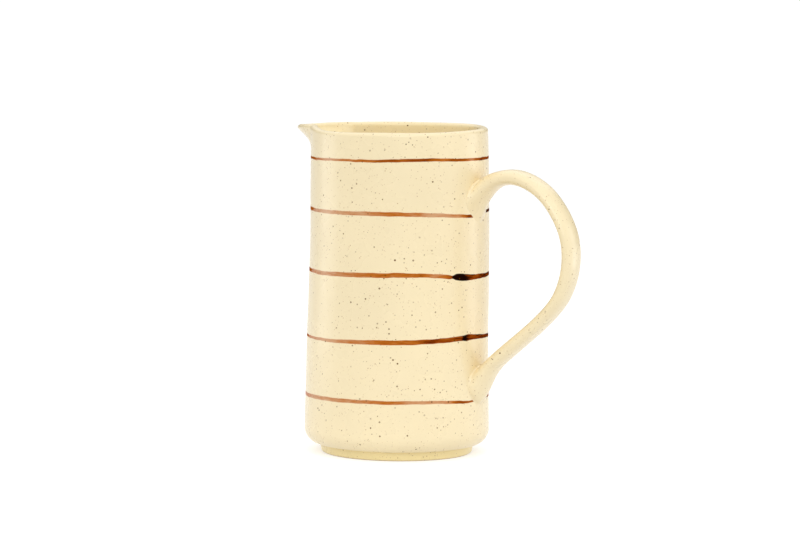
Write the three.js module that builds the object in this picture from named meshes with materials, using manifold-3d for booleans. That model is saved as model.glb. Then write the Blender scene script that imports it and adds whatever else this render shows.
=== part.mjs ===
// Serving jug in glazed stoneware: a thrown body with a drawn beak, a turned foot ring, and a pulled
// strap handle that sits on two pads of soft clay. Millimetres, +Z up, handle on +X, beak on -X.

import * as THREE from 'three';
import { mergeVertices } from 'three/addons/utils/BufferGeometryUtils.js';
import Module from 'manifold-3d';

// Body
const jugHeight = 190;
const bellyRadius = 53.9; // outside of the wall, just above the heel
const rimRadius = 52.2; // outside of the wall, where the lip starts to round over
const wallThickness = 5;
const floorThickness = 6;
const heelRadius = 9; // rounding between wall and underside
const innerHeelRadius = 12; // rounding between wall and floor inside
const lipOuterHeight = 14; // height of the rounding on the outside of the lip
const lipInnerHeight = 4; // height of the rounding on the inside of the lip

// Foot ring
const footHeight = 5.2;
const footRadius = 44.2; // outside, at the table
const footFlare = 0.8; // how much wider the ring is at the top
const footWidth = 6;
const footEdgeRadius = 1.5;

// Beak: a broad flare of the rim, with a narrow nib drawn out of its middle
const flareReach = 7.8;
const flareDepth = 10.2; // how far below the rim the flare starts
const flareAngle = THREE.MathUtils.degToRad(62); // to each side of the beak's middle
const nibReach = 9.4;
const nibDepth = 19;
const nibAngle = THREE.MathUtils.degToRad(21.5);
const tipDrop = 1.3; // how far the tip lies below the rim
const seamHalfWidth = 26; // luted seam of the beak, measured at the rim
const seamDepth = 29; // lowest point of the seam below the rim

// Handle strap: its middle line in the XZ plane
const strapWidth = 19;
const strapThickness = 7.7;
const upperRootHeight = 150;
const neckReach = 62; // the strap leaves the wall upwards to here
const neckHeight = 160;
const archReach = 70; // top of the arch
const archHeight = 164.4;
const shoulderReach = 93.2;
const shoulderHeight = 156.4;
const gripReach = 110.2; // near the furthest point of the loop
const gripHeight = 127.6;
const elbowReach = 104.7;
const elbowHeight = 95.7;
const tailReach = 62.2;
const tailHeight = 55.7;
const lowerRootHeight = 45.6;
const rootSpread = 1; // how much wider the strap is where it meets the body
const rootSwell = 1.5; // how much thicker it is there
const rootShare = 0.16; // share of the strap's length over which each end swells

// Pads of soft clay under the two ends of the strap
const leafHalfWidth = 14.5;
const leafSag = 4; // how far the widest part of the leaf lies below the strap's root
const leafTop = 16; // height above the widest part
const leafTail = 11.5; // depth below it
const leafThickness = 5;
const lowerPadHalfWidth = 13.5;
const lowerPadSag = 2;
const lowerPadTop = 13;
const lowerPadTail = 13;
const lowerPadThickness = 5.5;
const padEdge = 0.8; // thickness left at a pad's outline
const padPinch = 0.55; // how strongly a pad narrows towards its tail
const padDome = 0.75; // roundness of a pad's top: 0.5 is an ellipse, 1 a parabola

// Thickness of the slip between two luted pieces
const slipGap = 0.3;

// Fineness of the meshes
const bodySegments = 96;
const footSegments = 72;
const strapRings = 36;
const strapSides = 16;
const padSides = 28;

// Heights and radii that follow from the sizes above
const heelTop = footHeight + heelRadius;
const lipStart = jugHeight - lipOuterHeight;
const floorTop = footHeight + floorThickness;
const crestRadius = rimRadius - wallThickness / 2;

// Outside radius of the straight wall at a height
function wallRadius(height) {
  const share = (height - heelTop) / (lipStart - heelTop);
  return THREE.MathUtils.lerp(bellyRadius, rimRadius, share);
}

// Points of several curves joined end to end, each with its own number of steps
function joinCurves(curves) {
  const points = [curves[0].curve.getPoint(0)];
  for (const { curve, steps } of curves) {
    points.push(...curve.getPoints(steps).slice(1));
  }
  return points;
}

function line(start, end, steps = 1) {
  return { curve: new THREE.LineCurve(new THREE.Vector2(...start), new THREE.Vector2(...end)), steps };
}

function arc(centre, radii, startAngle, endAngle, steps) {
  const clockwise = endAngle < startAngle;
  const curve = new THREE.EllipseCurve(...centre, ...radii, startAngle, endAngle, clockwise);
  return { curve, steps };
}

// A profile of radius and height, turned about the Z axis
function turned(profile, segments) {
  const geometry = new THREE.LatheGeometry(profile, segments);
  geometry.rotateX(Math.PI / 2);
  return geometry;
}

// A closed skin over rings of points, with its two ends drawn in to single points
function skinned(startPoint, rings, endPoint) {
  const sides = rings[0].length;
  const points = [startPoint, ...rings.flat(), endPoint];
  const last = points.length - 1;
  const triangles = [];
  for (let side = 0; side < sides; side += 1) {
    const next = (side + 1) % sides;
    triangles.push(0, 1 + next, 1 + side);
    for (let ring = 0; ring < rings.length - 1; ring += 1) {
      const here = 1 + ring * sides;
      const above = here + sides;
      triangles.push(here + side, here + next, above + next);
      triangles.push(here + side, above + next, above + side);
    }
    const top = 1 + (rings.length - 1) * sides;
    triangles.push(last, top + side, top + next);
  }
  const geometry = new THREE.BufferGeometry().setFromPoints(points);
  geometry.setIndex(triangles);
  return geometry;
}

// Joining and cutting of closed solids
const wasm = await Module();
wasm.setup();

function toSolid(geometry) {
  const bare = geometry.clone();
  bare.deleteAttribute('normal');
  bare.deleteAttribute('uv');
  const merged = mergeVertices(bare, 1e-4);
  const index = merged.index.array;
  const triangles = [];
  for (let i = 0; i < index.length; i += 3) {
    const [a, b, c] = index.slice(i, i + 3);
    if (a !== b && b !== c && c !== a) {
      triangles.push(a, b, c);
    }
  }
  const vertProperties = new Float32Array(merged.attributes.position.array);
  const triVerts = new Uint32Array(triangles);
  return new wasm.Manifold(new wasm.Mesh({ numProp: 3, vertProperties, triVerts }));
}

function toGeometry(solid) {
  const mesh = solid.getMesh();
  const geometry = new THREE.BufferGeometry();
  geometry.setAttribute('position', new THREE.BufferAttribute(mesh.vertProperties, 3));
  geometry.setIndex(new THREE.BufferAttribute(mesh.triVerts, 1));
  geometry.computeVertexNormals();
  return geometry;
}

// Body: wall and floor in one turned shell

function bodyProfile() {
  const heelCentre = [bellyRadius - heelRadius, heelTop];
  const wallTop = [rimRadius, lipStart];
  const beakStart = jugHeight - seamDepth;
  const wallAtBeak = [wallRadius(beakStart), beakStart];
  const innerLip = jugHeight - lipInnerHeight;
  const innerBelly = bellyRadius - wallThickness;
  const innerRim = rimRadius - wallThickness;
  const innerAtBeak = [wallRadius(beakStart) - wallThickness, beakStart];
  const cornerCentre = [innerBelly - innerHeelRadius, floorTop + innerHeelRadius];
  return joinCurves([
    line([0, footHeight], [heelCentre[0], footHeight]),
    arc(heelCentre, [heelRadius, heelRadius], -Math.PI / 2, 0, 5),
    line([bellyRadius, heelTop], wallAtBeak, 2),
    line(wallAtBeak, wallTop, 4),
    arc([crestRadius, lipStart], [wallThickness / 2, lipOuterHeight], 0, Math.PI / 2, 7),
    arc([crestRadius, innerLip], [wallThickness / 2, lipInnerHeight], Math.PI / 2, Math.PI, 4),
    line([innerRim, innerLip], innerAtBeak, 6),
    line(innerAtBeak, [innerBelly, cornerCentre[1]], 2),
    arc(cornerCentre, [innerHeelRadius, innerHeelRadius], 0, -Math.PI / 2, 4),
    line([cornerCentre[0], floorTop], [0, floorTop]),
  ]);
}

// Share that is left of a bump, 1 at its middle and 0 at its limit
function fade(distance, limit, power) {
  return Math.max(0, 1 - distance / limit) ** power;
}

// Pulls the upper wall outwards on the -X side, the way a thumb and finger draw a beak
function drawBeak(geometry) {
  const place = geometry.attributes.position;
  const power = 1.2; // 1 draws a straight slope, more a hollow one
  for (let i = 0; i < place.count; i += 1) {
    const x = place.getX(i);
    const y = place.getY(i);
    const z = place.getZ(i);
    const radius = Math.hypot(x, y);
    const angle = Math.abs(Math.atan2(y, -x));
    const depth = Math.max(0, jugHeight - z);
    const turn = Math.min(1, angle / flareAngle) * Math.PI / 2;
    const flare = Math.cos(turn) ** 2 * fade(depth, flareDepth, power);
    const nib = fade(angle, nibAngle, power) * fade(depth, nibDepth, power);
    const reach = flareReach * flare + nibReach * nib;
    if (reach > 0) {
      const grown = (radius + reach) / radius;
      place.setXYZ(i, x * grown, y * grown, z - tipDrop * nib);
    }
  }
  return geometry;
}

// V-shaped wedge from the body's axis out past the beak, with its lowest edge raised by a lift
function beakWedge(lift) {
  const overshoot = 1.2; // the wedge runs on above the rim
  const low = jugHeight - seamDepth + lift;
  const high = low + seamDepth * overshoot;
  const half = seamHalfWidth * overshoot;
  const outer = rimRadius + flareReach + nibReach + wallThickness;
  const outline = new THREE.Shape();
  outline.moveTo(0, low);
  outline.lineTo(half, high);
  outline.lineTo(-half, high);
  outline.closePath();
  const geometry = new THREE.ExtrudeGeometry(outline, { depth: outer, bevelEnabled: false });
  const axisX = new THREE.Vector3(1, 0, 0);
  const axisY = new THREE.Vector3(0, 1, 0);
  const axisZ = new THREE.Vector3(0, 0, 1);
  geometry.applyMatrix4(new THREE.Matrix4().makeBasis(axisY, axisZ, axisX));
  geometry.translate(-outer, 0, 0);
  return toSolid(geometry);
}

const shell = toSolid(drawBeak(turned(bodyProfile(), bodySegments)));
const body = shell.subtract(beakWedge(0));

// Beak: the part of the drawn shell inside the wedge, set back from it by the slip
const seamSlope = Math.hypot(seamHalfWidth, seamDepth) / seamHalfWidth;
const beak = shell.intersect(beakWedge(slipGap * seamSlope));

// Foot ring: a closed ring with softened edges at the table
function footRing() {
  const innerRadius = footRadius - footWidth;
  const top = footHeight - slipGap;
  const edge = footEdgeRadius;
  const profile = joinCurves([
    line([innerRadius + edge, 0], [footRadius - edge, 0]),
    arc([footRadius - edge, edge], [edge, edge], -Math.PI / 2, 0, 3),
    line([footRadius, edge], [footRadius + footFlare, top]),
    line([footRadius + footFlare, top], [innerRadius - footFlare, top]),
    line([innerRadius - footFlare, top], [innerRadius, edge]),
    arc([innerRadius + edge, edge], [edge, edge], Math.PI, Math.PI * 1.5, 3),
  ]);
  return toSolid(turned(profile, footSegments));
}

// Pads: leaf-shaped mounds that lie on the wall, with a tail that points down

// Point on the wall, or at a height above it, at a distance round the body from the XZ plane
function wallPoint(around, height, above) {
  const radius = wallRadius(height);
  const angle = around / radius;
  const reach = radius + above;
  return new THREE.Vector3(reach * Math.cos(angle), reach * Math.sin(angle), height);
}

// Outline of a pad, anticlockwise as seen from outside the jug, drawn in by a share
function padRing(pad, share, above) {
  const ring = [];
  for (let side = 0; side < padSides; side += 1) {
    const turn = -side / padSides * Math.PI * 2;
    const rise = Math.cos(turn);
    const length = rise > 0 ? pad.top : pad.tail;
    const width = pad.halfWidth * (1 + padPinch * rise) / (1 + padPinch ** 2 / 2);
    ring.push(wallPoint(width * Math.sin(turn) * share, pad.height + length * rise * share, above));
  }
  return ring;
}

// The mound stands between floorAbove and its domed top, and grow widens it on all sides
function padSolid(pad, floorAbove, grow) {
  const grown = {
    height: pad.height,
    halfWidth: pad.halfWidth + grow,
    top: pad.top + grow,
    tail: pad.tail + grow,
  };
  const edgeAbove = slipGap + padEdge + grow;
  const crown = pad.thickness - padEdge;
  const domeAbove = (share) => edgeAbove + crown * (1 - share ** 2) ** padDome;
  const rings = [];
  for (const share of [0.4, 0.8, 1]) {
    rings.push(padRing(grown, share, floorAbove));
  }
  for (const share of [1, 0.95, 0.8, 0.6, 0.3]) {
    rings.push(padRing(grown, share, domeAbove(share)));
  }
  const bottom = wallPoint(0, pad.height, floorAbove);
  const crest = wallPoint(0, pad.height, domeAbove(0));
  return toSolid(skinned(bottom, rings, crest));
}

const upperLeaf = {
  height: upperRootHeight - leafSag,
  halfWidth: leafHalfWidth,
  top: leafTop,
  tail: leafTail,
  thickness: leafThickness,
};
const lowerPad = {
  height: lowerRootHeight - lowerPadSag,
  halfWidth: lowerPadHalfWidth,
  top: lowerPadTop,
  tail: lowerPadTail,
  thickness: lowerPadThickness,
};

// Handle: rounded strap sections lofted along a smooth curve, then cut to seat on the pads
function strapCurve() {
  const inPlane = (reach, height) => new THREE.Vector3(reach, 0, height);
  return new THREE.CatmullRomCurve3([
    inPlane(wallRadius(upperRootHeight) - wallThickness / 2, upperRootHeight),
    inPlane(neckReach, neckHeight),
    inPlane(archReach, archHeight),
    inPlane(shoulderReach, shoulderHeight),
    inPlane(gripReach, gripHeight),
    inPlane(elbowReach, elbowHeight),
    inPlane(tailReach, tailHeight),
    inPlane(wallRadius(lowerRootHeight) - wallThickness / 2, lowerRootHeight),
  ]);
}

function strapLoft() {
  const curve = strapCurve();
  const across = new THREE.Vector3(0, 1, 0);
  const fullness = 2 / 2.5; // between a plain oval and a rounded rectangle
  const soften = (value) => Math.sign(value) * Math.abs(value) ** fullness;
  const rings = [];
  for (let step = 0; step <= strapRings; step += 1) {
    const share = step / strapRings;
    const centre = curve.getPointAt(share);
    const along = curve.getTangentAt(share);
    const outward = new THREE.Vector3().crossVectors(across, along);
    const toEnd = Math.min(share, 1 - share);
    const swell = fade(toEnd, rootShare, 2);
    const halfThickness = (strapThickness + rootSwell * swell) / 2;
    const halfWidth = (strapWidth + rootSpread * swell) / 2;
    const ring = [];
    for (let side = 0; side < strapSides; side += 1) {
      const turn = side / strapSides * Math.PI * 2;
      const point = centre.clone();
      point.addScaledVector(outward, halfThickness * soften(Math.cos(turn)));
      point.addScaledVector(across, halfWidth * soften(Math.sin(turn)));
      ring.push(point);
    }
    rings.push(ring);
  }
  return toSolid(skinned(curve.getPointAt(0), rings, curve.getPointAt(1)));
}

// The straight wall as a full solid, larger than the body by the slip
function wallEnvelope() {
  const profile = [
    new THREE.Vector2(0, heelTop),
    new THREE.Vector2(bellyRadius + slipGap, heelTop),
    new THREE.Vector2(rimRadius + slipGap, lipStart),
    new THREE.Vector2(0, lipStart),
  ];
  return toSolid(turned(profile, bodySegments));
}

const strapSeats = [wallEnvelope()];
for (const pad of [upperLeaf, lowerPad]) {
  strapSeats.push(padSolid(pad, -wallThickness / 2, slipGap));
}
const handle = strapSeats.reduce((solid, seat) => solid.subtract(seat), strapLoft());

// The assembled jug

const glaze = { color: 0xf5e5bd, roughness: 0.35, metalness: 0 };
const bareClay = { color: 0xdcc7a0, roughness: 0.8, metalness: 0 };

const jug = new THREE.Group();

function addPiece(name, solid, finish) {
  const mesh = new THREE.Mesh(toGeometry(solid), new THREE.MeshStandardMaterial(finish));
  mesh.name = name;
  jug.add(mesh);
}

addPiece('jug_body', body, glaze);
addPiece('pouring_spout', beak, glaze);
addPiece('foot_ring', footRing(), bareClay);
addPiece('handle', handle, glaze);
addPiece('upper_root_leaf', padSolid(upperLeaf, slipGap, 0), glaze);
addPiece('lower_root_pad', padSolid(lowerPad, slipGap, 0), glaze);

// The origin is on the table, in the middle of the space that the jug takes up
const bounds = new THREE.Box3().setFromObject(jug);
jug.position.x = -(bounds.min.x + bounds.max.x) / 2;

export default jug;
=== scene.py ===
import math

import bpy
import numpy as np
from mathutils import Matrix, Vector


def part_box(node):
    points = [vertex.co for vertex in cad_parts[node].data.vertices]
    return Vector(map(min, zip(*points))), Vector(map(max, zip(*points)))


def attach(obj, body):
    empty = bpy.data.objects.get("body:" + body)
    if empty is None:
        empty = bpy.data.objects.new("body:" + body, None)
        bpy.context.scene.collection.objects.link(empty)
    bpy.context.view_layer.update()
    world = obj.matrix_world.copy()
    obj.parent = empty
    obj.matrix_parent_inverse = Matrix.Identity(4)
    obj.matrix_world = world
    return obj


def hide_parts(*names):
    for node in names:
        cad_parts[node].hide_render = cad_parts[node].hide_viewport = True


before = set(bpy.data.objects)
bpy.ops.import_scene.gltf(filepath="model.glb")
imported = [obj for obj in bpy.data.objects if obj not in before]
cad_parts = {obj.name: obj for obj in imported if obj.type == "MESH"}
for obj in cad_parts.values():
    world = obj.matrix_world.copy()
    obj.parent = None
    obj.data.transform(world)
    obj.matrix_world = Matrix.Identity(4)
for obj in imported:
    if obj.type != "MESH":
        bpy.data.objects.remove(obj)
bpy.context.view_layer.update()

# Looks of a serving jug in cream speckled stoneware: the glazed body with its drawn beak and painted bands,
# the strap handle with its smoothed roots, the foot with its bare contact ring, the studio and the camera.
# Lengths are in metres, in the frame of the CAD model. Angles round the jug are counted from +X, where the
# handle is.

MM = 0.001

# Sizes taken from the frame
FOOT_LOW, FOOT_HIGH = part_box("foot_ring")
BODY_LOW, BODY_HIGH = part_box("jug_body")
LEAF_LOW, LEAF_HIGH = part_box("upper_root_leaf")
PAD_LOW, PAD_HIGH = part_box("lower_root_pad")
AXIS_X = (FOOT_LOW.x + FOOT_HIGH.x) / 2
JUG_HEIGHT = BODY_HIGH.z
FOOT_HEIGHT = BODY_LOW.z
FOOT_TOP_RADIUS = (FOOT_HIGH.y - FOOT_LOW.y) / 2
BELLY_RADIUS = (BODY_HIGH.y - BODY_LOW.y) / 2

# Body
RIM_RADIUS = 51.6 * MM
WAIST = 0.3 * MM  # how far the wall draws in at half its height
WALL = 5 * MM
FLOOR_THICKNESS = 6 * MM
HEEL_RADIUS = 9 * MM
INNER_HEEL_RADIUS = 12 * MM
LIP_CURL = 0.3 * MM  # how far the wall leans in below the lip
LIP_CURL_HEIGHT = 22 * MM
LIP_HEIGHT = 2.2 * MM  # height of the rounding of the lip
HEEL_TOP = FOOT_HEIGHT + HEEL_RADIUS
FLOOR_TOP = FOOT_HEIGHT + FLOOR_THICKNESS
LIP_START = JUG_HEIGHT - LIP_HEIGHT

# Steps of the body's mesh
BODY_COLUMNS = 352
COLUMN_CROWDING = 0.4  # 0 spaces the columns evenly, more draws them towards the beak
POLE_RADIUS = 1 * MM  # the flat parts start or end this far from the axis
FLAT_STEPS = 8
HEEL_STEPS = 18
WALL_STEPS = 136
LIP_STEPS = 28
INNER_STEPS = 70
INNER_HEEL_STEPS = 14
# The inner colour is partly thicker glaze and partly painted shade of the hollow.
INSIDE_ROWS = 18  # rows behind the lip's crest over which the inner colour takes over

# Rise and fall of the hand-made rim: angle in degrees, spread to each side in degrees, height
RIM_WAVES = [
    (-158, 36, 1.3 * MM),
    (-117, 50, -0.9 * MM),
    (-5, 45, 0.45 * MM),
    (45, 60, 0.75 * MM),
    (165, 20, 0.4 * MM),
]
RIM_WAVE_DEPTH = 40 * MM

# Unevenness that the potter's hands leave in the radius
OVAL_WAVE = 0.1 * MM
OVAL_TURN = 0.6
THREE_WAVE = 0.06 * MM
THREE_TWIST = 17 * MM  # height over which the three waves shift by one radian
RING_WAVE = 0.05 * MM
RING_TWIST = 6.5 * MM  # the same for the throwing rings
LEAN = 0.6 * MM  # slight lean of the middle of the wall
LEAN_HEIGHT = 128 * MM
LEAN_SPREAD = 62 * MM
LEAN_ANGLE = math.radians(27)
WAVES_FULL = 20 * MM  # height above the heel from which the unevenness is full

# Beak: a narrow nib drawn out of a slight flare of the rim, on the -X side
FLARE_REACH = 2 * MM
FLARE_DEPTH = 8 * MM
FLARE_ANGLE = math.radians(50)
NIB_REACH = 12.8 * MM
NIB_DEPTH = 11.3 * MM
NIB_ANGLE = math.radians(24)
NIB_SOFTNESS = math.radians(4)
BEAK_POWER = 0.9  # 1 draws a straight slope, less a full one
BEAK_BLEND = 0.05  # softness of the line where the beak leaves the wall
TIP_DROP = 1.2 * MM

# Foot
FOOT_FLARE = 0.8 * MM
FOOT_WIDTH = 6 * MM
FOOT_EDGE = 1.5 * MM
FOOT_OVERLAP = 0.3 * MM  # how far the foot reaches into the body, so that no gap shows
BARE_HEIGHT = 0.5 * MM  # the glaze stops this far above the table
FOOT_COLUMNS = 240
FOOT_EDGE_STEPS = 8
FOOT_SIDE_STEPS = 6
FOOT_FLAT_STEPS = 4

# Handle: the strap's middle line as reach from the body's axis and height, in millimetres
STRAP_LINE = [
    (50, 149.6),
    (57.8, 159.5),
    (75.5, 164),
    (95.2, 154.5),
    (110.1, 128.3),
    (105.5, 97.3),
    (64.6, 57.1),
    (51, 44),
]
STRAP_WIDTH = 19 * MM
STRAP_SHARES = [0, 0.25, 0.6, 1]  # places along the strap at which its thickness is known
STRAP_THICKNESS = [9 * MM, 7.6 * MM, 7.8 * MM, 8.5 * MM]
STRAP_FULLNESS = 2.3  # 2 is an oval section, more is squarer
SPAN_STEPS = 60  # steps of the middle line between two of its points
STRAP_SIDES = 80
STRAP_RINGS = 180
UPPER_FLARE = 23.4 * MM  # length of the strap that spreads into its root
LOWER_FLARE = 18.6 * MM

# Roots of the handle: class Root says what each value means
UPPER_ROOT = {
    "widest": 0.53,
    "fullness": (1.9, 1.3),
    "edge": (1.5 * MM, 0.4 * MM),
    "hold": 0.5,
    "draw": 9.7 * MM,
    "fill": (1, 0.8, 0.45),
}
LOWER_ROOT = {
    "widest": 0.55,
    "fullness": (1.5, 1.7),
    "edge": (0, 0),
    "hold": 0.45,
    "draw": 10.5 * MM,
    "fill": (0.4, 0.7, 2.3),
}
ROOT_SINK = 0.4 * MM  # how deep in the wall the outline lies
ROOT_EDGE_STEPS = [(0.995, 0.35), (0.975, 0.75)]  # shares of the outline's size and of the edge's height
ROOT_INNER_SHARE = 0.94  # share of the outline's size at which the edge has its full height
ROOT_RINGS = 28

# Painted bands, one list each: angle in degrees, height and thickness in millimetres, and darkness
# The darkness is highest at -141 degrees, at the jug's edge on the left, as painted shade, and lowest under
# the two side highlights, near -118 degrees and between -40 and -9 degrees, partly as painted highlight.
BANDS = [
    [
        (-141, 172.5, 1.9, 0.8), (-128, 172.6, 1.9, 0.58), (-118, 173.0, 1.9, 0.42),
        (-107, 173.4, 1.8, 0.45), (-99, 173.4, 1.8, 0.56), (-80, 173.8, 2.1, 0.66), (-70, 174.1, 2.1, 0.82),
        (-62, 174.3, 2.2, 0.72), (-46, 174.7, 2.2, 0.88), (-35, 174.6, 2.1, 0.6), (-25, 174.2, 2.1, 0.76),
        (-17, 174.0, 2.1, 0.76), (-9, 173.9, 2.0, 0.55), (4, 173.8, 2.1, 0.9), (15, 173.5, 2.1, 0.85),
        (80, 173.9, 2.2, 0.6), (145, 173.0, 2.0, 0.6),
    ],
    [
        (-141, 142.8, 2.6, 0.72), (-130, 142.8, 2.5, 0.4), (-118, 142.9, 2.5, 0.28), (-99, 143.1, 2.7, 0.4),
        (-89, 143.4, 2.7, 0.36), (-75, 143.6, 2.9, 0.52), (-61, 143.6, 2.8, 0.6), (-50, 143.5, 2.8, 0.5),
        (-40, 142.9, 2.7, 0.3), (-30, 142.4, 2.5, 0.38), (-22, 142.0, 2.3, 0.5), (-16, 141.6, 2.3, 0.62),
        (-13, 141.3, 2.3, 0.9), (-6, 141.0, 2.0, 0.8), (8, 142.9, 2.2, 0.98), (20, 143.1, 2.3, 0.96),
        (70, 143.6, 2.6, 0.6), (150, 142.5, 2.6, 0.5),
    ],
    [
        (-141, 107.3, 2.6, 0.75), (-130, 107.2, 2.7, 0.45), (-126, 107.1, 2.8, 0.42),
        (-115, 107.3, 2.8, 0.38), (-104, 107.5, 2.9, 0.46), (-83, 108.2, 3.1, 0.58), (-61, 108.7, 3.1, 0.62),
        (-48, 108.6, 2.7, 0.62), (-39, 108.0, 2.7, 0.5), (-31, 107.3, 2.9, 0.62), (-28, 107.0, 2.9, 0.72),
        (-27, 106.9, 1.7, 0.8), (-26.3, 106.8, 1.7, 1.15), (-24.5, 106.7, 4.0, 1.25), (-22, 106.5, 4.5, 1.25),
        (-18.5, 106.3, 4.5, 1.2), (-16, 106.2, 4.3, 1.0), (-13, 106.1, 4.1, 0.92), (-8, 106.0, 3.6, 0.88),
        (1, 105.9, 3.1, 0.92), (12, 105.8, 2.9, 0.95), (80, 106.8, 2.8, 0.6), (150, 107.6, 2.8, 0.5),
    ],
    [
        (-141, 68.7, 1.9, 0.7), (-130, 68.7, 2.0, 0.4), (-116, 68.8, 2.2, 0.32), (-97, 69.2, 2.6, 0.48),
        (-85, 69.5, 2.9, 0.54), (-74, 69.7, 3.2, 0.64), (-56, 69.9, 3.3, 0.66), (-48, 70.1, 3.1, 0.76),
        (-41, 70.3, 3.1, 0.92), (-35, 70.5, 3.2, 0.82), (-28, 70.8, 3.2, 0.8), (-23, 70.9, 3.3, 0.83),
        (-18, 71.0, 3.2, 0.85), (-17, 71.1, 3.0, 1.1), (-16, 71.2, 4.0, 1.2), (-14.8, 71.3, 4.3, 0.96),
        (-12.5, 71.4, 4.1, 0.9), (-7, 71.1, 3.4, 0.88), (3, 70.7, 2.9, 0.93), (17, 69.7, 2.7, 0.9),
        (80, 69.0, 2.6, 0.6), (150, 69.4, 2.4, 0.5),
    ],
    [
        (-141, 34.5, 2.7, 0.6), (-130, 34.5, 2.7, 0.38), (-114, 34.8, 2.7, 0.36), (-92, 35.0, 2.6, 0.46),
        (-68, 35.2, 2.5, 0.6), (-60, 35.2, 2.5, 0.5), (-50, 35.2, 2.3, 0.36), (-38, 35.1, 2.2, 0.36),
        (-28, 34.8, 2.2, 0.5), (-22, 34.4, 2.2, 0.8), (-16, 33.9, 1.9, 0.78), (-10, 33.5, 1.6, 0.75),
        (-6, 33.7, 1.5, 0.85), (-4, 34.1, 0, 0.7), (11, 34.0, 0, 0.9), (15, 34.4, 1.8, 0.9),
        (25, 34.4, 1.9, 0.6), (80, 34.6, 2.2, 0.5), (150, 34.0, 2.4, 0.45),
    ],
]
BAND_ROOM = 6  # millimetres to each side of a band on which its thickness and darkness are stored
NO_BAND = 50  # distance in millimetres that stands for no band near
LINE_BLUR = 4  # degrees over which the corners of a band's middle line are blurred
STROKE_BLUR = 0.7  # the same for its thickness and darkness
BLUR_STEP = 0.5  # degrees between the places at which a band is blurred

# Colours
CREAM = (0.935, 0.795, 0.512, 1)
# Deeper cream inside the jug: partly thicker glaze, partly painted shade of the hollow
INNER_CREAM_AND_SHADE = (0.94, 0.79, 0.465, 1)
# Deeper cream of the foot: partly its glaze, partly painted shade under the heel with its warm bounced light
FOOT_CREAM_AND_SHADE = (0.96, 0.80, 0.42, 1)
SPECK_BROWN = (0.13, 0.05, 0.001, 1)
FRECKLE_TAN = (0.50, 0.33, 0.16, 1)
PAINT_LIGHT = (0.65, 0.37, 0.18, 1)
PAINT_BROWN = (0.50, 0.14, 0.013, 1)
PAINT_DARK = (0.23, 0.034, 0.001, 1)
PAINT_BLACK = (0.010, 0.002, 0.001, 1)
CLAY_LIGHT = (0.66, 0.50, 0.31, 1)
CLAY_DARK = (0.55, 0.40, 0.23, 1)
FLOOR_GREY = (0.6, 0.6, 0.6, 1)
WHITE = (1, 1, 1, 1)

# Paint of the bands: lengths in millimetres, and scales of noise in waves per metre
EDGE_WOBBLE = 0.2
WOBBLE_SCALE = 130
EDGE_SOFTNESS = 0.4
STREAK = 0.13  # how much a streak of the brush adds to the darkness or takes from it
STREAK_SCALE = 170
STREAK_STRETCH = (1, 1, 7)
STREAK_RANGE = (0.25, 0.75)
PAINT_TONES = [(0.2, 0.6, PAINT_BROWN), (0.6, 0.9, PAINT_DARK), (0.88, 1.0, PAINT_BLACK)]
DULL_RANGE = (0.38, 0.66)  # darkness over which the paint loses its shine

# Glaze: lengths in metres, and scales of noise in waves per metre
FRECKLES = {"cell": 1.2 * MM, "share": 0.72, "size": 0.44 * MM, "strength": (0.3, 0.85)}
SPECKS = {"cell": 2.0 * MM, "size": 0.65 * MM, "strength": (0.3, 0.95)}
BODY_SPECK_SHARE = 0.45
FOOT_SPECK_SHARE = 0.3
HANDLE_SPECK_SHARE = 0.3
SPECK_TURN = (0.6, 0.8, 0.4)  # turn of the cells, so that they line up with no piece
SPECK_POWER = 1.5  # more than 1 makes small specks more common than large ones
SPECK_SOFTNESS = 0.25  # soft part of a speck's edge, as a share of the largest size
CLOUD_SHADE = 0.96  # brightness of the darker clouds
CLOUD_SCALE = 22
CLOUD_RANGE = (0.3, 0.75)
FINE_DETAIL = 3.0
MID_RANGE = (0.3, 0.7)  # most values of a noise lie between these
SHINE = 0.5
GLAZE_ROUGHNESS = (0.25, 0.31)
ROUGHNESS_SCALE = 60
SKIN_SCALE = 90
SKIN_DETAIL = 1.0
PORE_SCALE = 600
PORE_SHARE = 0.12
SKIN_STRENGTH = 0.5
SKIN_DEPTH = 0.15 * MM

# Bare clay
GRAIN_SCALE = 900
GRAIN_DETAIL = 4.0
GRAIN_RANGE = (0.35, 0.7)
GRAIN_STRENGTH = 0.4
GRAIN_DEPTH = 0.1 * MM
CLAY_ROUGHNESS = 0.85

# Studio: white floor, and light of the walls and the ceiling
FLOOR_SIZE = 40
FLOOR_GLOW = 0.27  # light that the floor gives beside the jug
FLOOR_WHITE = 0.54  # light that makes the floor show as white
GLOW_NEAR = 0.05  # distances from the jug's axis over which the glow fades
GLOW_FAR = 0.4
FRONT_LIGHT = (-0.7, 0.1, 0.49)  # for each: cosine at which it starts, at which it is full, and its strength
BACK_LIGHT = (-0.9, -0.98, 0.3)
TOP_LIGHT = (0.25, 0.8, 0.67)

# Upright softboxes beside the jug: first and last azimuth from the camera, in degrees, and radiance
SIDE_BOXES = {
    "left_box": (-88, -116, 1.6),
    "right_box": (44, 94, 0.55),
    "right_strip": (96, 114, 1.85),
}
SIDE_BOX_DISTANCE = 0.6
SIDE_BOX_MIDDLE = 0.15
SIDE_BOX_TALL = 0.36

# Softboxes above the jug: azimuth from the camera, distance, height, width, length, radiance
HIGH_BOXES = {
    "front_box": (0, 1.6, 0.9, 1.2, 0.8, 3.05),
    "back_box": (180, 0.9, 0.9, 1.6, 0.9, 0.8),
}

# Camera: place round the jug, aim and lens
CAMERA_AZIMUTH = 27
CAMERA_DISTANCE = 2.594
CAMERA_HEIGHT = 0.367
CAMERA_PITCH = 5.69
CAMERA_ROLL = 0.6
CAMERA_TURN = 0.02  # degrees that the camera looks to the right of the body's axis
LENS = 201
SENSOR = 36
SIGHT = 200  # distance that the camera sees


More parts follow.
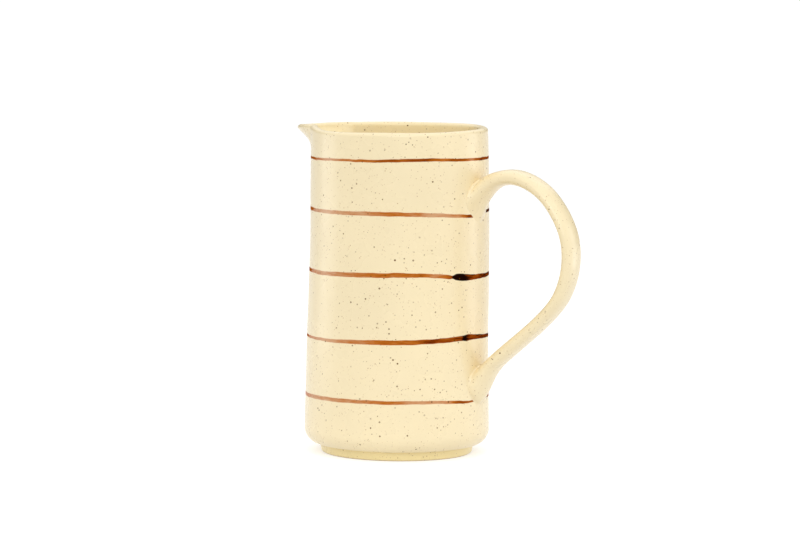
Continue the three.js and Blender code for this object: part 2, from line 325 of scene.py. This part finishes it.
def smooth(edge0, edge1, value):
    """Smooth step from 0 at edge0 to 1 at edge1."""
    share = np.clip((value - edge0) / (edge1 - edge0), 0, 1)
    return share * share * (3 - 2 * share)


def turn_between(angle, middle):
    """Unsigned turn from one angle to another."""
    return np.abs(np.angle(np.exp(1j * (angle - middle))))


def bump(distance, limit):
    """Rounded bump, 1 at no distance and 0 from the limit on."""
    return np.cos(np.clip(distance / limit, 0, 1) * math.pi / 2) ** 2


def make_object(name, vertices, faces, materials):
    """Smooth-shaded mesh object from vertices and faces."""
    mesh = bpy.data.meshes.new(name)
    mesh.from_pydata(np.asarray(vertices).tolist(), [], faces)
    mesh.shade_smooth()
    for material in materials:
        mesh.materials.append(material)
    made = bpy.data.objects.new(name, mesh)
    bpy.context.scene.collection.objects.link(made)
    return made


def store(mesh, name, values, elsewhere):
    """Stores a value at each of the mesh's first points, and one value at the points after them."""
    stored = np.full(len(mesh.vertices), float(elsewhere))
    stored[:values.size] = values.ravel()
    mesh.attributes.new(name, "FLOAT", "POINT").data.foreach_set("value", stored)


def ring_faces(rings, sides, closed=False):
    """Quads between rings of points that follow each other in one list."""
    faces = []
    for ring in range(rings if closed else rings - 1):
        here = ring * sides
        above = (ring + 1) % rings * sides
        for side in range(sides):
            after = (side + 1) % sides
            faces.append((here + side, here + after, above + after, above + side))
    return faces


def turned_points(radius, height, angles):
    """Points at a radius and a height round the body's axis."""
    return np.stack([AXIS_X + radius * np.cos(angles), radius * np.sin(angles), height], axis=-1)


def arc(centre, radii, start, end, steps):
    """Points of a part of an ellipse without its first point, as radius and height, between two degrees."""
    turns = np.radians(np.linspace(start, end, steps + 1)[1:])
    return np.column_stack([centre[0] + radii[0] * np.cos(turns), centre[1] + radii[1] * np.sin(turns)])


def straight(start, end, steps):
    """Points of a straight line without its first point."""
    share = np.linspace(0, 1, steps + 1)[1:, None]
    return np.asarray(start) * (1 - share) + np.asarray(end) * share


# Body

def outer_radius(height):
    """Outside radius of the wall below the lip."""
    share = np.clip((height - HEEL_TOP) / (LIP_START - HEEL_TOP), 0, 1)
    cone = BELLY_RADIUS + (RIM_RADIUS - BELLY_RADIUS) * share
    curl = np.clip((height - LIP_START + LIP_CURL_HEIGHT) / LIP_CURL_HEIGHT, 0, 1)
    return cone - WAIST * np.sin(math.pi * share) - LIP_CURL * curl ** 2


def body_profile():
    """Radius and height from the middle of the underside, over the lip, to the middle of the floor."""
    flat = BELLY_RADIUS - HEEL_RADIUS
    inner_belly = BELLY_RADIUS - WALL
    crest = float(outer_radius(LIP_START)) - WALL / 2
    corner = (inner_belly - INNER_HEEL_RADIUS, FLOOR_TOP + INNER_HEEL_RADIUS)
    wall_heights = np.linspace(HEEL_TOP, LIP_START, WALL_STEPS + 1)[1:]
    inner_heights = np.linspace(LIP_START, corner[1], INNER_STEPS + 1)[1:]
    inner_radii = outer_radius(inner_heights) - WALL
    inner_radii += (inner_belly - inner_radii[-1]) * smooth(LIP_START, corner[1], inner_heights)
    return np.vstack([
        straight((POLE_RADIUS, FOOT_HEIGHT), (flat, FOOT_HEIGHT), FLAT_STEPS),
        arc((flat, HEEL_TOP), (HEEL_RADIUS, HEEL_RADIUS), -90, 0, HEEL_STEPS),
        np.column_stack([outer_radius(wall_heights), wall_heights]),
        arc((crest, LIP_START), (WALL / 2, LIP_HEIGHT), 0, 180, LIP_STEPS),
        np.column_stack([inner_radii, inner_heights]),
        arc(corner, (INNER_HEEL_RADIUS, INNER_HEEL_RADIUS), 0, -90, INNER_HEEL_STEPS),
        straight((corner[0], FLOOR_TOP), (POLE_RADIUS, FLOOR_TOP), FLAT_STEPS),
    ])


def soft_ramp(depth, limit):
    """Falls in a straight line from 1 to about 0 at the limit, with a rounded foot."""
    left = 1 - depth / limit
    return (np.sqrt(left ** 2 + BEAK_BLEND ** 2) + left) / 2


def drawn_beak(angle, height):
    """How far out and down the wall is pulled at an angle and a height."""
    aside = turn_between(angle, math.pi)
    rounded = np.sqrt(aside ** 2 + NIB_SOFTNESS ** 2) - NIB_SOFTNESS
    depth = np.clip(LIP_START - height, 0, None)
    flare = bump(aside, FLARE_ANGLE) * soft_ramp(depth, FLARE_DEPTH) ** BEAK_POWER
    point = np.clip(1 - rounded / NIB_ANGLE, 0, 1)
    nib = point * soft_ramp(depth, NIB_DEPTH) ** BEAK_POWER
    return FLARE_REACH * flare + NIB_REACH * nib, TIP_DROP * nib


def rim_rise(angle, height):
    """How far the uneven rim lies above or below its mean height."""
    rise = 0
    for middle, spread, lift in RIM_WAVES:
        rise = rise + lift * bump(turn_between(angle, math.radians(middle)), math.radians(spread))
    return rise * smooth(JUG_HEIGHT - RIM_WAVE_DEPTH, JUG_HEIGHT, height)


def hand_waves(angle, height):
    """Slight unevenness of the radius."""
    oval = OVAL_WAVE * np.sin(2 * angle + OVAL_TURN)
    three = THREE_WAVE * np.sin(3 * angle - height / THREE_TWIST)
    rings = RING_WAVE * np.sin(height / RING_TWIST + angle)
    lean = LEAN * np.cos(angle - LEAN_ANGLE) * bump(np.abs(height - LEAN_HEIGHT), LEAN_SPREAD)
    return (oval + three + rings + lean) * smooth(FOOT_HEIGHT, HEEL_TOP + WAVES_FULL, height)


def body_angles():
    """Angles of the columns, closer together at the beak."""
    even = np.linspace(0, 2 * math.pi, BODY_COLUMNS, endpoint=False)
    return even + COLUMN_CROWDING * np.sin(even)


def make_body(material):
    """Wall, lip, beak, inside and floor in one skin, with the bands' places stored on it."""
    profile = body_profile()
    angles = body_angles()
    radius = profile[:, :1] + np.zeros_like(angles)
    height = profile[:, 1:] + np.zeros_like(angles)
    out, down = drawn_beak(angles, height)
    radius = radius + out + hand_waves(angles, height)
    points = turned_points(radius, height - down + rim_rise(angles, height), angles)
    rows = len(profile)
    poles = [[AXIS_X, 0, FOOT_HEIGHT], [AXIS_X, 0, FLOOR_TOP]]
    vertices = np.vstack([points.reshape(-1, 3), poles])
    faces = ring_faces(rows, BODY_COLUMNS)
    under = rows * BODY_COLUMNS
    floor = under + 1
    last = under - BODY_COLUMNS
    for side in range(BODY_COLUMNS):
        after = (side + 1) % BODY_COLUMNS
        faces.append((under, after, side))
        faces.append((floor, last + side, last + after))
    body = make_object("glazed_body", vertices, faces, [material])
    crest = int(np.argmax(profile[:, 1]))
    row = np.arange(rows)
    # Share of the inner colour, partly painted shade of the hollow, growing from the lip's crest inwards
    inner_cream_and_shade = smooth(crest, crest + INSIDE_ROWS, row)[:, None] + np.zeros(BODY_COLUMNS)
    store(body.data, "inside", inner_cream_and_shade, 1)
    paint_bands(body.data, angles, points[:, :, 2], row < crest)
    return body


# Painted bands: each point of the wall stores how far it lies from the middle of its nearest band, and
# the thickness and darkness that the band has there.

def round_the_jug(angles, points, column, blur):
    """Values of a band round the jug, with corners blurred over some degrees."""
    fine = np.arange(-180, 180, BLUR_STEP)
    known_at = [point[0] for point in points]
    known = [point[column] for point in points]
    values = np.interp(fine, known_at, known, period=360)
    weights = np.exp(-0.5 * (fine / blur) ** 2)
    spectrum = np.fft.fft(values) * np.fft.fft(np.fft.ifftshift(weights / weights.sum()))
    return np.interp(np.degrees(angles), fine, np.fft.ifft(spectrum).real, period=360)


def paint_bands(mesh, angles, heights, outside):
    """Stores the bands on the rows of the mesh that lie outside."""
    shape = heights.shape
    gap = np.full(shape, float(NO_BAND))
    thickness = np.zeros(shape)
    darkness = np.zeros(shape)
    for points in BANDS:
        middle = round_the_jug(angles, points, 1, LINE_BLUR)
        distance = heights / MM - middle
        nearer = (np.abs(distance) < np.abs(gap)) & outside[:, None]
        gap = np.where(nearer, distance, gap)
        here = nearer & (np.abs(distance) < BAND_ROOM)
        thickness = np.where(here, round_the_jug(angles, points, 2, STROKE_BLUR), thickness)
        darkness = np.where(here, round_the_jug(angles, points, 3, STROKE_BLUR), darkness)
    store(mesh, "band_gap", gap, NO_BAND)
    store(mesh, "band_thickness", thickness, 0)
    store(mesh, "band_darkness", darkness, 0)


# Foot

def make_foot(glaze, clay):
    """Turned ring under the body, glazed on its sides and bare where it touches the table."""
    foot_radius = FOOT_TOP_RADIUS - FOOT_FLARE
    inner = foot_radius - FOOT_WIDTH
    top = FOOT_HEIGHT + FOOT_OVERLAP
    edge = (FOOT_EDGE, FOOT_EDGE)
    profile = np.vstack([
        arc((foot_radius - FOOT_EDGE, FOOT_EDGE), edge, -90, 0, FOOT_EDGE_STEPS),
        straight((foot_radius, FOOT_EDGE), (FOOT_TOP_RADIUS, top), FOOT_SIDE_STEPS),
        straight((FOOT_TOP_RADIUS, top), (inner - FOOT_FLARE, top), FOOT_FLAT_STEPS),
        straight((inner - FOOT_FLARE, top), (inner, FOOT_EDGE), FOOT_SIDE_STEPS),
        arc((inner + FOOT_EDGE, FOOT_EDGE), edge, 180, 270, FOOT_EDGE_STEPS),
        straight((inner + FOOT_EDGE, 0), (foot_radius - FOOT_EDGE, 0), FOOT_FLAT_STEPS),
    ])
    angles = np.linspace(0, 2 * math.pi, FOOT_COLUMNS, endpoint=False)
    points = turned_points(profile[:, :1], profile[:, 1:] + np.zeros_like(angles), angles)
    faces = ring_faces(len(profile), FOOT_COLUMNS, closed=True)
    foot = make_object("turned_foot", points.reshape(-1, 3), faces, [glaze, clay])
    for polygon in foot.data.polygons:
        polygon.material_index = int(polygon.center.z < BARE_HEIGHT)
    return foot


# Handle

def spline(points, steps):
    """Smooth curve through points, with knots spaced by the root of the distance."""
    points = np.asarray(points, float)
    padded = np.vstack([2 * points[0] - points[1], points, 2 * points[-1] - points[-2]])
    curve = []
    for span in range(len(points) - 1):
        before, start, end, after = padded[span:span + 4]
        knot_in = np.linalg.norm(start - before) ** 0.5
        knot = np.linalg.norm(end - start) ** 0.5
        knot_out = np.linalg.norm(after - end) ** 0.5
        chord = (end - start) / knot
        leave = ((start - before) / knot_in - (end - before) / (knot_in + knot) + chord) * knot
        arrive = (chord - (after - start) / (knot + knot_out) + (after - end) / knot_out) * knot
        for t in np.linspace(0, 1, steps, endpoint=False):
            curve.append((2 * t ** 3 - 3 * t ** 2 + 1) * start + (t ** 3 - 2 * t ** 2 + t) * leave
                         + (3 * t ** 2 - 2 * t ** 3) * end + (t ** 3 - t ** 2) * arrive)
    curve.append(points[-1])
    return np.array(curve)


def even_steps(curve, skip_start, skip_end, count):
    """Points spaced evenly along a plane curve between two lengths from its ends, with their directions."""
    lengths = np.concatenate([[0], np.cumsum(np.linalg.norm(np.diff(curve, axis=0), axis=1))])

    def place(length):
        across = np.interp(length, lengths, curve[:, 0])
        up = np.interp(length, lengths, curve[:, 1])
        return np.column_stack([across, up])

    wanted = np.linspace(skip_start, lengths[-1] - skip_end, count)
    reach = 1 * MM
    along = place(wanted + reach) - place(wanted - reach)
    return place(wanted), along / np.linalg.norm(along, axis=1, keepdims=True)


def signed_power(value, power):
    """Power of a value's size, with the value's sign."""
    return np.sign(value) * np.abs(value) ** power


def wall_points(around, height, above):
    """Points on the outside of the wall, or above it, at a distance round from the handle's plane."""
    radius = outer_radius(height)
    return turned_points(radius + above, height, around / radius)


class Root:
    """Outline of a handle's root on the wall, and how the strap flows into it."""

    def __init__(self, low, high, widest, fullness, edge, hold, draw, fill):
        self.middle = low.z + (high.z - low.z) * widest  # height at which the outline is widest
        self.rise = high.z - self.middle
        self.tail = self.middle - low.z
        self.half_width = (high.y - low.y) / 2
        self.fullness = fullness  # of the top and the tail: 1 is a diamond, 2 an oval
        self.edge = edge  # height of the step at the outline, at the top and the tail
        self.hold = hold  # share of the way to the middle over which thin clay keeps to the wall
        self.draw = draw  # length over which the strap bends towards the wall
        self.fill = fill  # at the top, sides and tail: 0 keeps to the wall, 1 runs straight to the strap

    def outline(self, up, around, share, above):
        """The outline, shrunk to a share of its size and lifted off the wall."""
        power = 2 / np.where(up > 0, *self.fullness)
        length = np.where(up > 0, self.rise, self.tail)
        height = self.middle + signed_power(up, power) * length * share
        return wall_points(self.half_width * signed_power(around, power) * share, height, above)

    def rings(self, turns, upward, strap_ring, away):
        """Rings from the outline on the wall to the strap's own section."""
        up = np.cos(turns) * upward
        around = np.sin(turns)
        edge = np.interp(up, (-1, 1), self.edge[::-1])
        rings = [self.outline(up, around, 1, -ROOT_SINK)]
        for size, rise in ROOT_EDGE_STEPS:
            rings.append(self.outline(up, around, size, rise * edge))
        start = self.outline(up, around, ROOT_INNER_SHARE, edge)
        arrive = strap_ring - away * self.draw
        fill = np.interp(up, (-1, 0, 1), self.fill[::-1])[:, None]
        leave = self.outline(up, around, ROOT_INNER_SHARE - self.hold, edge) * (1 - fill)
        leave += (start * 2 + arrive) / 3 * fill
        for t in np.linspace(0, 1, ROOT_RINGS, endpoint=False):
            rings.append((1 - t) ** 3 * start + 3 * (1 - t) ** 2 * t * leave
                         + 3 * (1 - t) * t ** 2 * arrive + t ** 3 * strap_ring)
        return rings


def make_handle(material):
    """Strap and both of its roots in one skin."""
    line = spline([(AXIS_X + reach * MM, height * MM) for reach, height in STRAP_LINE], SPAN_STEPS)
    places, along = even_steps(line, UPPER_FLARE, LOWER_FLARE, STRAP_RINGS)
    turns = np.linspace(0, 2 * math.pi, STRAP_SIDES, endpoint=False)
    flat = signed_power(np.cos(turns), 2 / STRAP_FULLNESS) / 2
    wide = signed_power(np.sin(turns), 2 / STRAP_FULLNESS) / 2 * STRAP_WIDTH
    thickness = np.interp(np.linspace(0, 1, STRAP_RINGS), STRAP_SHARES, STRAP_THICKNESS)
    strap = []
    for (x, z), (dx, dz), thick in zip(places, along, thickness):
        strap.append(np.column_stack([x + dz * thick * flat, wide, z - dx * thick * flat]))
    from_upper = np.array([along[0, 0], 0, along[0, 1]])
    from_lower = -np.array([along[-1, 0], 0, along[-1, 1]])
    upper = Root(LEAF_LOW, LEAF_HIGH, **UPPER_ROOT)
    lower = Root(PAD_LOW, PAD_HIGH, **LOWER_ROOT)
    start = upper.rings(turns, -1, strap[0], from_upper)
    end = lower.rings(turns, 1, strap[-1], from_lower)
    rings = start + strap + end[::-1]
    vertices = np.vstack(rings)
    faces = ring_faces(len(rings), STRAP_SIDES)
    faces.append(tuple(range(STRAP_SIDES))[::-1])
    faces.append(tuple(range(len(vertices) - STRAP_SIDES, len(vertices))))
    return make_object("pulled_handle", vertices, faces, [material])


# Materials

class Shading:
    """The nodes of a material or world with one main shader, and short ways to add and join them."""

    def __init__(self, owner, main, place):
        owner.use_nodes = True
        self.owner = owner
        self.tree = owner.node_tree
        self.main = self.tree.nodes[main]
        self.place = self.tree.nodes.new("ShaderNodeTexCoord").outputs[place]

    def feed(self, socket, value):
        """Joins a socket to an output, or sets its plain value."""
        if isinstance(value, bpy.types.NodeSocket):
            self.tree.links.new(value, socket)
        else:
            socket.default_value = value

    def node(self, kind, inputs, **settings):
        """A node with its inputs, by name or number, fed or set."""
        node = self.tree.nodes.new(kind)
        for name, value in settings.items():
            setattr(node, name, value)
        for name, value in inputs.items():
            self.feed(node.inputs[name], value)
        return node

    def math(self, operation, first, second=0.0):
        return self.node("ShaderNodeMath", {0: first, 1: second}, operation=operation).outputs[0]

    def remap(self, value, low, high, new_low=0.0, new_high=1.0, soft=False):
        """A value carried from one range to another and held inside it."""
        inputs = {"Value": value, "From Min": low, "From Max": high, "To Min": new_low, "To Max": new_high}
        kind = "SMOOTHSTEP" if soft else "LINEAR"
        return self.node("ShaderNodeMapRange", inputs, interpolation_type=kind).outputs["Result"]

    def mix(self, share, first, second):
        """Mix of two colours."""
        node = self.node("ShaderNodeMix", {}, data_type="RGBA")
        for name, value in (("Factor_Float", share), ("A_Color", first), ("B_Color", second)):
            socket = next(s for s in node.inputs if s.identifier == name)
            self.feed(socket, value)
        return next(s for s in node.outputs if s.identifier == "Result_Color")

    def vector_math(self, operation, first, second):
        """Plain number from two vectors."""
        return self.node("ShaderNodeVectorMath", {0: first, 1: second}, operation=operation).outputs["Value"]

    def noise(self, scale, detail=2.0, place=None):
        inputs = {"Vector": place or self.place, "Scale": scale, "Detail": detail}
        return self.node("ShaderNodeTexNoise", inputs).outputs["Fac"]

    def attribute(self, name):
        return self.node("ShaderNodeAttribute", {}, attribute_name=name).outputs["Fac"]

    def relief(self, height, strength, depth):
        """Roughens the main shader's surface by a height."""
        inputs = {"Height": height, "Strength": strength, "Distance": depth}
        self.feed(self.main.inputs["Normal"], self.node("ShaderNodeBump", inputs).outputs[0])

    def specks(self, cell, share, size, strength):
        """Mask of round specks: one in a share of the cells, more small than large, of mixed strength."""
        turned = self.node("ShaderNodeMapping", {"Vector": self.place, "Rotation": SPECK_TURN})
        cells = self.node("ShaderNodeTexVoronoi", {"Vector": turned.outputs[0], "Scale": 1 / cell})
        chance = self.node("ShaderNodeSeparateColor", {"Color": cells.outputs["Color"]})
        rank = self.math("POWER", self.remap(chance.outputs["Red"], 1 - share, 1), SPECK_POWER)
        radius = self.math("MULTIPLY", rank, size / cell)
        inside = self.math("SUBTRACT", radius, cells.outputs["Distance"])
        mask = self.remap(inside, 0, SPECK_SOFTNESS * size / cell, soft=True)
        return self.math("MULTIPLY", mask, self.remap(chance.outputs["Green"], 0, 1, *strength))


def new_material(name):
    return Shading(bpy.data.materials.new(name), "Principled BSDF", "Object")


def painted(shading, ground):
    """Brown strokes over the ground colour, with uneven edges and streaks along the brush.

    Also gives the mask of the thick dark paint, which is less shiny than the glaze."""
    uneven = shading.noise(WOBBLE_SCALE, FINE_DETAIL)
    wobble = shading.remap(uneven, *MID_RANGE, -EDGE_WOBBLE, EDGE_WOBBLE)
    away = shading.math("ABSOLUTE", shading.math("ADD", shading.attribute("band_gap"), wobble))
    half = shading.math("MULTIPLY", shading.attribute("band_thickness"), 0.5)
    inside = shading.math("SUBTRACT", half, away)
    cover = shading.remap(inside, 0, EDGE_SOFTNESS, soft=True)
    stretched = shading.node("ShaderNodeMapping", {"Vector": shading.place, "Scale": STREAK_STRETCH})
    brush = shading.noise(STREAK_SCALE, FINE_DETAIL, stretched.outputs[0])
    streak = shading.remap(brush, *STREAK_RANGE, -STREAK, STREAK)
    dark = shading.math("ADD", shading.attribute("band_darkness"), streak)
    paint = PAINT_LIGHT
    for low, high, tone in PAINT_TONES:
        paint = shading.mix(shading.remap(dark, low, high), paint, tone)
    dull = shading.math("MULTIPLY", cover, shading.remap(dark, *DULL_RANGE))
    return shading.mix(cover, ground, paint), dull


def glaze_material(name, cream, speck_share, with_bands=False):
    """Cream glaze with clouds, freckles and specks, and on the body with bands and a deeper inner cream that
    is partly painted shade of the hollow.
    """
    shading = new_material(name)
    cloud = shading.remap(shading.noise(CLOUD_SCALE, FINE_DETAIL), *CLOUD_RANGE, soft=True)
    colour = shading.mix(cloud, cream, [part * CLOUD_SHADE for part in cream[:3]] + [1])
    if with_bands:
        # Deeper cream inside the jug, partly painted shade of the hollow
        colour = shading.mix(shading.attribute("inside"), colour, INNER_CREAM_AND_SHADE)
    colour = shading.mix(shading.specks(**FRECKLES), colour, FRECKLE_TAN)
    dull = 0
    if with_bands:
        colour, dull = painted(shading, colour)
    specks = shading.specks(share=speck_share, **SPECKS)
    colour = shading.mix(specks, colour, SPECK_BROWN)
    dull = shading.math("MAXIMUM", specks, dull)
    rough = shading.remap(shading.noise(ROUGHNESS_SCALE), *MID_RANGE, *GLAZE_ROUGHNESS)
    shading.feed(shading.main.inputs["Base Color"], colour)
    shading.feed(shading.main.inputs["Specular IOR Level"], shading.remap(dull, 0, 1, SHINE, 0))
    shading.feed(shading.main.inputs["Roughness"], rough)
    pores = shading.math("MULTIPLY", shading.noise(PORE_SCALE), PORE_SHARE)
    skin = shading.math("ADD", shading.noise(SKIN_SCALE, SKIN_DETAIL), pores)
    shading.relief(skin, SKIN_STRENGTH, SKIN_DEPTH)
    return shading.owner


def clay_material(name):
    """Matt unglazed clay with a fine grain."""
    shading = new_material(name)
    grain = shading.remap(shading.noise(GRAIN_SCALE, GRAIN_DETAIL), *GRAIN_RANGE)
    shading.feed(shading.main.inputs["Base Color"], shading.mix(grain, CLAY_LIGHT, CLAY_DARK))
    shading.main.inputs["Roughness"].default_value = CLAY_ROUGHNESS
    shading.relief(grain, GRAIN_STRENGTH, GRAIN_DEPTH)
    return shading.owner


# Studio

def floor_material():
    """White floor that glows near the jug and shows as white, apart from the contact shadow."""
    shading = new_material("pale_floor")
    inputs = shading.main.inputs
    inputs["Base Color"].default_value = FLOOR_GREY
    inputs["Roughness"].default_value = 1
    inputs["Specular IOR Level"].default_value = 0
    inputs["Emission Color"].default_value = WHITE
    from_jug = shading.vector_math("DISTANCE", shading.place, (AXIS_X, 0, 0))
    pool = shading.remap(from_jug, GLOW_NEAR, GLOW_FAR, FLOOR_GLOW, 0, soft=True)
    path = shading.node("ShaderNodeLightPath", {})
    seen = shading.math("MAXIMUM", path.outputs["Is Glossy Ray"], path.outputs["Is Transmission Ray"])
    seen = shading.math("MAXIMUM", seen, path.outputs["Is Camera Ray"])
    shading.feed(inputs["Emission Strength"], shading.remap(seen, 0, 1, pool, FLOOR_WHITE))
    return shading.owner


def make_floor():
    size = FLOOR_SIZE
    corners = [(-size, -size, 0), (size, -size, 0), (size, size, 0), (-size, size, 0)]
    make_object("studio_floor", corners, [(0, 1, 2, 3)], [floor_material()])


def make_world():
    """Studio that is light above and in front of the jug, dark at its sides and pale straight behind it."""
    world = bpy.data.worlds.new("studio")
    bpy.context.scene.world = world
    shading = Shading(world, "Background", "Generated")
    to_camera = around_jug(CAMERA_AZIMUTH, 1, 0) - around_jug(CAMERA_AZIMUTH, 0, 0)
    up = Vector((0, 0, 1))
    strength = 0.0
    for direction, light in ((to_camera, FRONT_LIGHT), (to_camera, BACK_LIGHT), (up, TOP_LIGHT)):
        start, full, level = light
        facing = shading.vector_math("DOT_PRODUCT", shading.place, direction)
        lit = shading.remap(facing, start, full, 0, level, soft=True)
        strength = shading.math("ADD", strength, lit)
    shading.main.inputs["Color"].default_value = WHITE
    shading.feed(shading.main.inputs["Strength"], strength)


def around_jug(azimuth, distance, height):
    """Point at an azimuth round the body's axis, counted as the camera's."""
    turn = math.radians(azimuth)
    return Vector((AXIS_X + distance * math.sin(turn), -distance * math.cos(turn), height))


def add_softbox(name, place, width, tall, radiance):
    """Softbox that faces the middle of the jug."""
    data = bpy.data.lights.new(name, "AREA")
    data.shape = "RECTANGLE"
    data.size = width
    data.size_y = tall
    data.energy = radiance * math.pi * width * tall
    light = bpy.data.objects.new(name, data)
    bpy.context.scene.collection.objects.link(light)
    light.location = place
    aim = Vector((AXIS_X, 0, JUG_HEIGHT / 2)) - place
    light.rotation_euler = aim.to_track_quat("-Z", "Y").to_euler()


def make_lights():
    for name, (first, last, radiance) in SIDE_BOXES.items():
        place = around_jug(CAMERA_AZIMUTH + (first + last) / 2, SIDE_BOX_DISTANCE, SIDE_BOX_MIDDLE)
        width = 2 * SIDE_BOX_DISTANCE * math.tan(math.radians(abs(last - first) / 2))
        add_softbox(name, place, width, SIDE_BOX_TALL, radiance)
    for name, (azimuth, distance, height, width, tall, radiance) in HIGH_BOXES.items():
        place = around_jug(CAMERA_AZIMUTH + azimuth, distance, height)
        add_softbox(name, place, width, tall, radiance)


def make_camera():
    data = bpy.data.cameras.new("camera")
    data.lens = LENS
    data.sensor_width = SENSOR
    data.clip_end = SIGHT
    camera = bpy.data.objects.new("camera", data)
    bpy.context.scene.collection.objects.link(camera)
    heading = Matrix.Rotation(math.radians(CAMERA_AZIMUTH - CAMERA_TURN), 4, "Z")
    tilt = Matrix.Rotation(math.radians(90 - CAMERA_PITCH), 4, "X")
    roll = Matrix.Rotation(math.radians(CAMERA_ROLL), 4, "Z")
    place = Matrix.Translation(around_jug(CAMERA_AZIMUTH, CAMERA_DISTANCE, CAMERA_HEIGHT))
    camera.matrix_world = place @ heading @ tilt @ roll
    bpy.context.scene.camera = camera


bpy.context.scene.view_settings.view_transform = "Standard"
make_world()
make_floor()
make_lights()
make_camera()

body = make_body(glaze_material("banded_glaze", CREAM, BODY_SPECK_SHARE, with_bands=True))
# The foot's deeper cream is partly painted shade under the heel.
foot = make_foot(glaze_material("foot_glaze", FOOT_CREAM_AND_SHADE, FOOT_SPECK_SHARE), clay_material("bare_clay"))
handle = make_handle(glaze_material("handle_glaze", CREAM, HANDLE_SPECK_SHARE))

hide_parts("jug_body", "pouring_spout")
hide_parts("foot_ring")
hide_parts("handle", "upper_root_leaf", "lower_root_pad")
for piece, slot in ((body, "glaze"), (foot, "bare_clay"), (handle, "glaze")):
    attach(piece, "root")
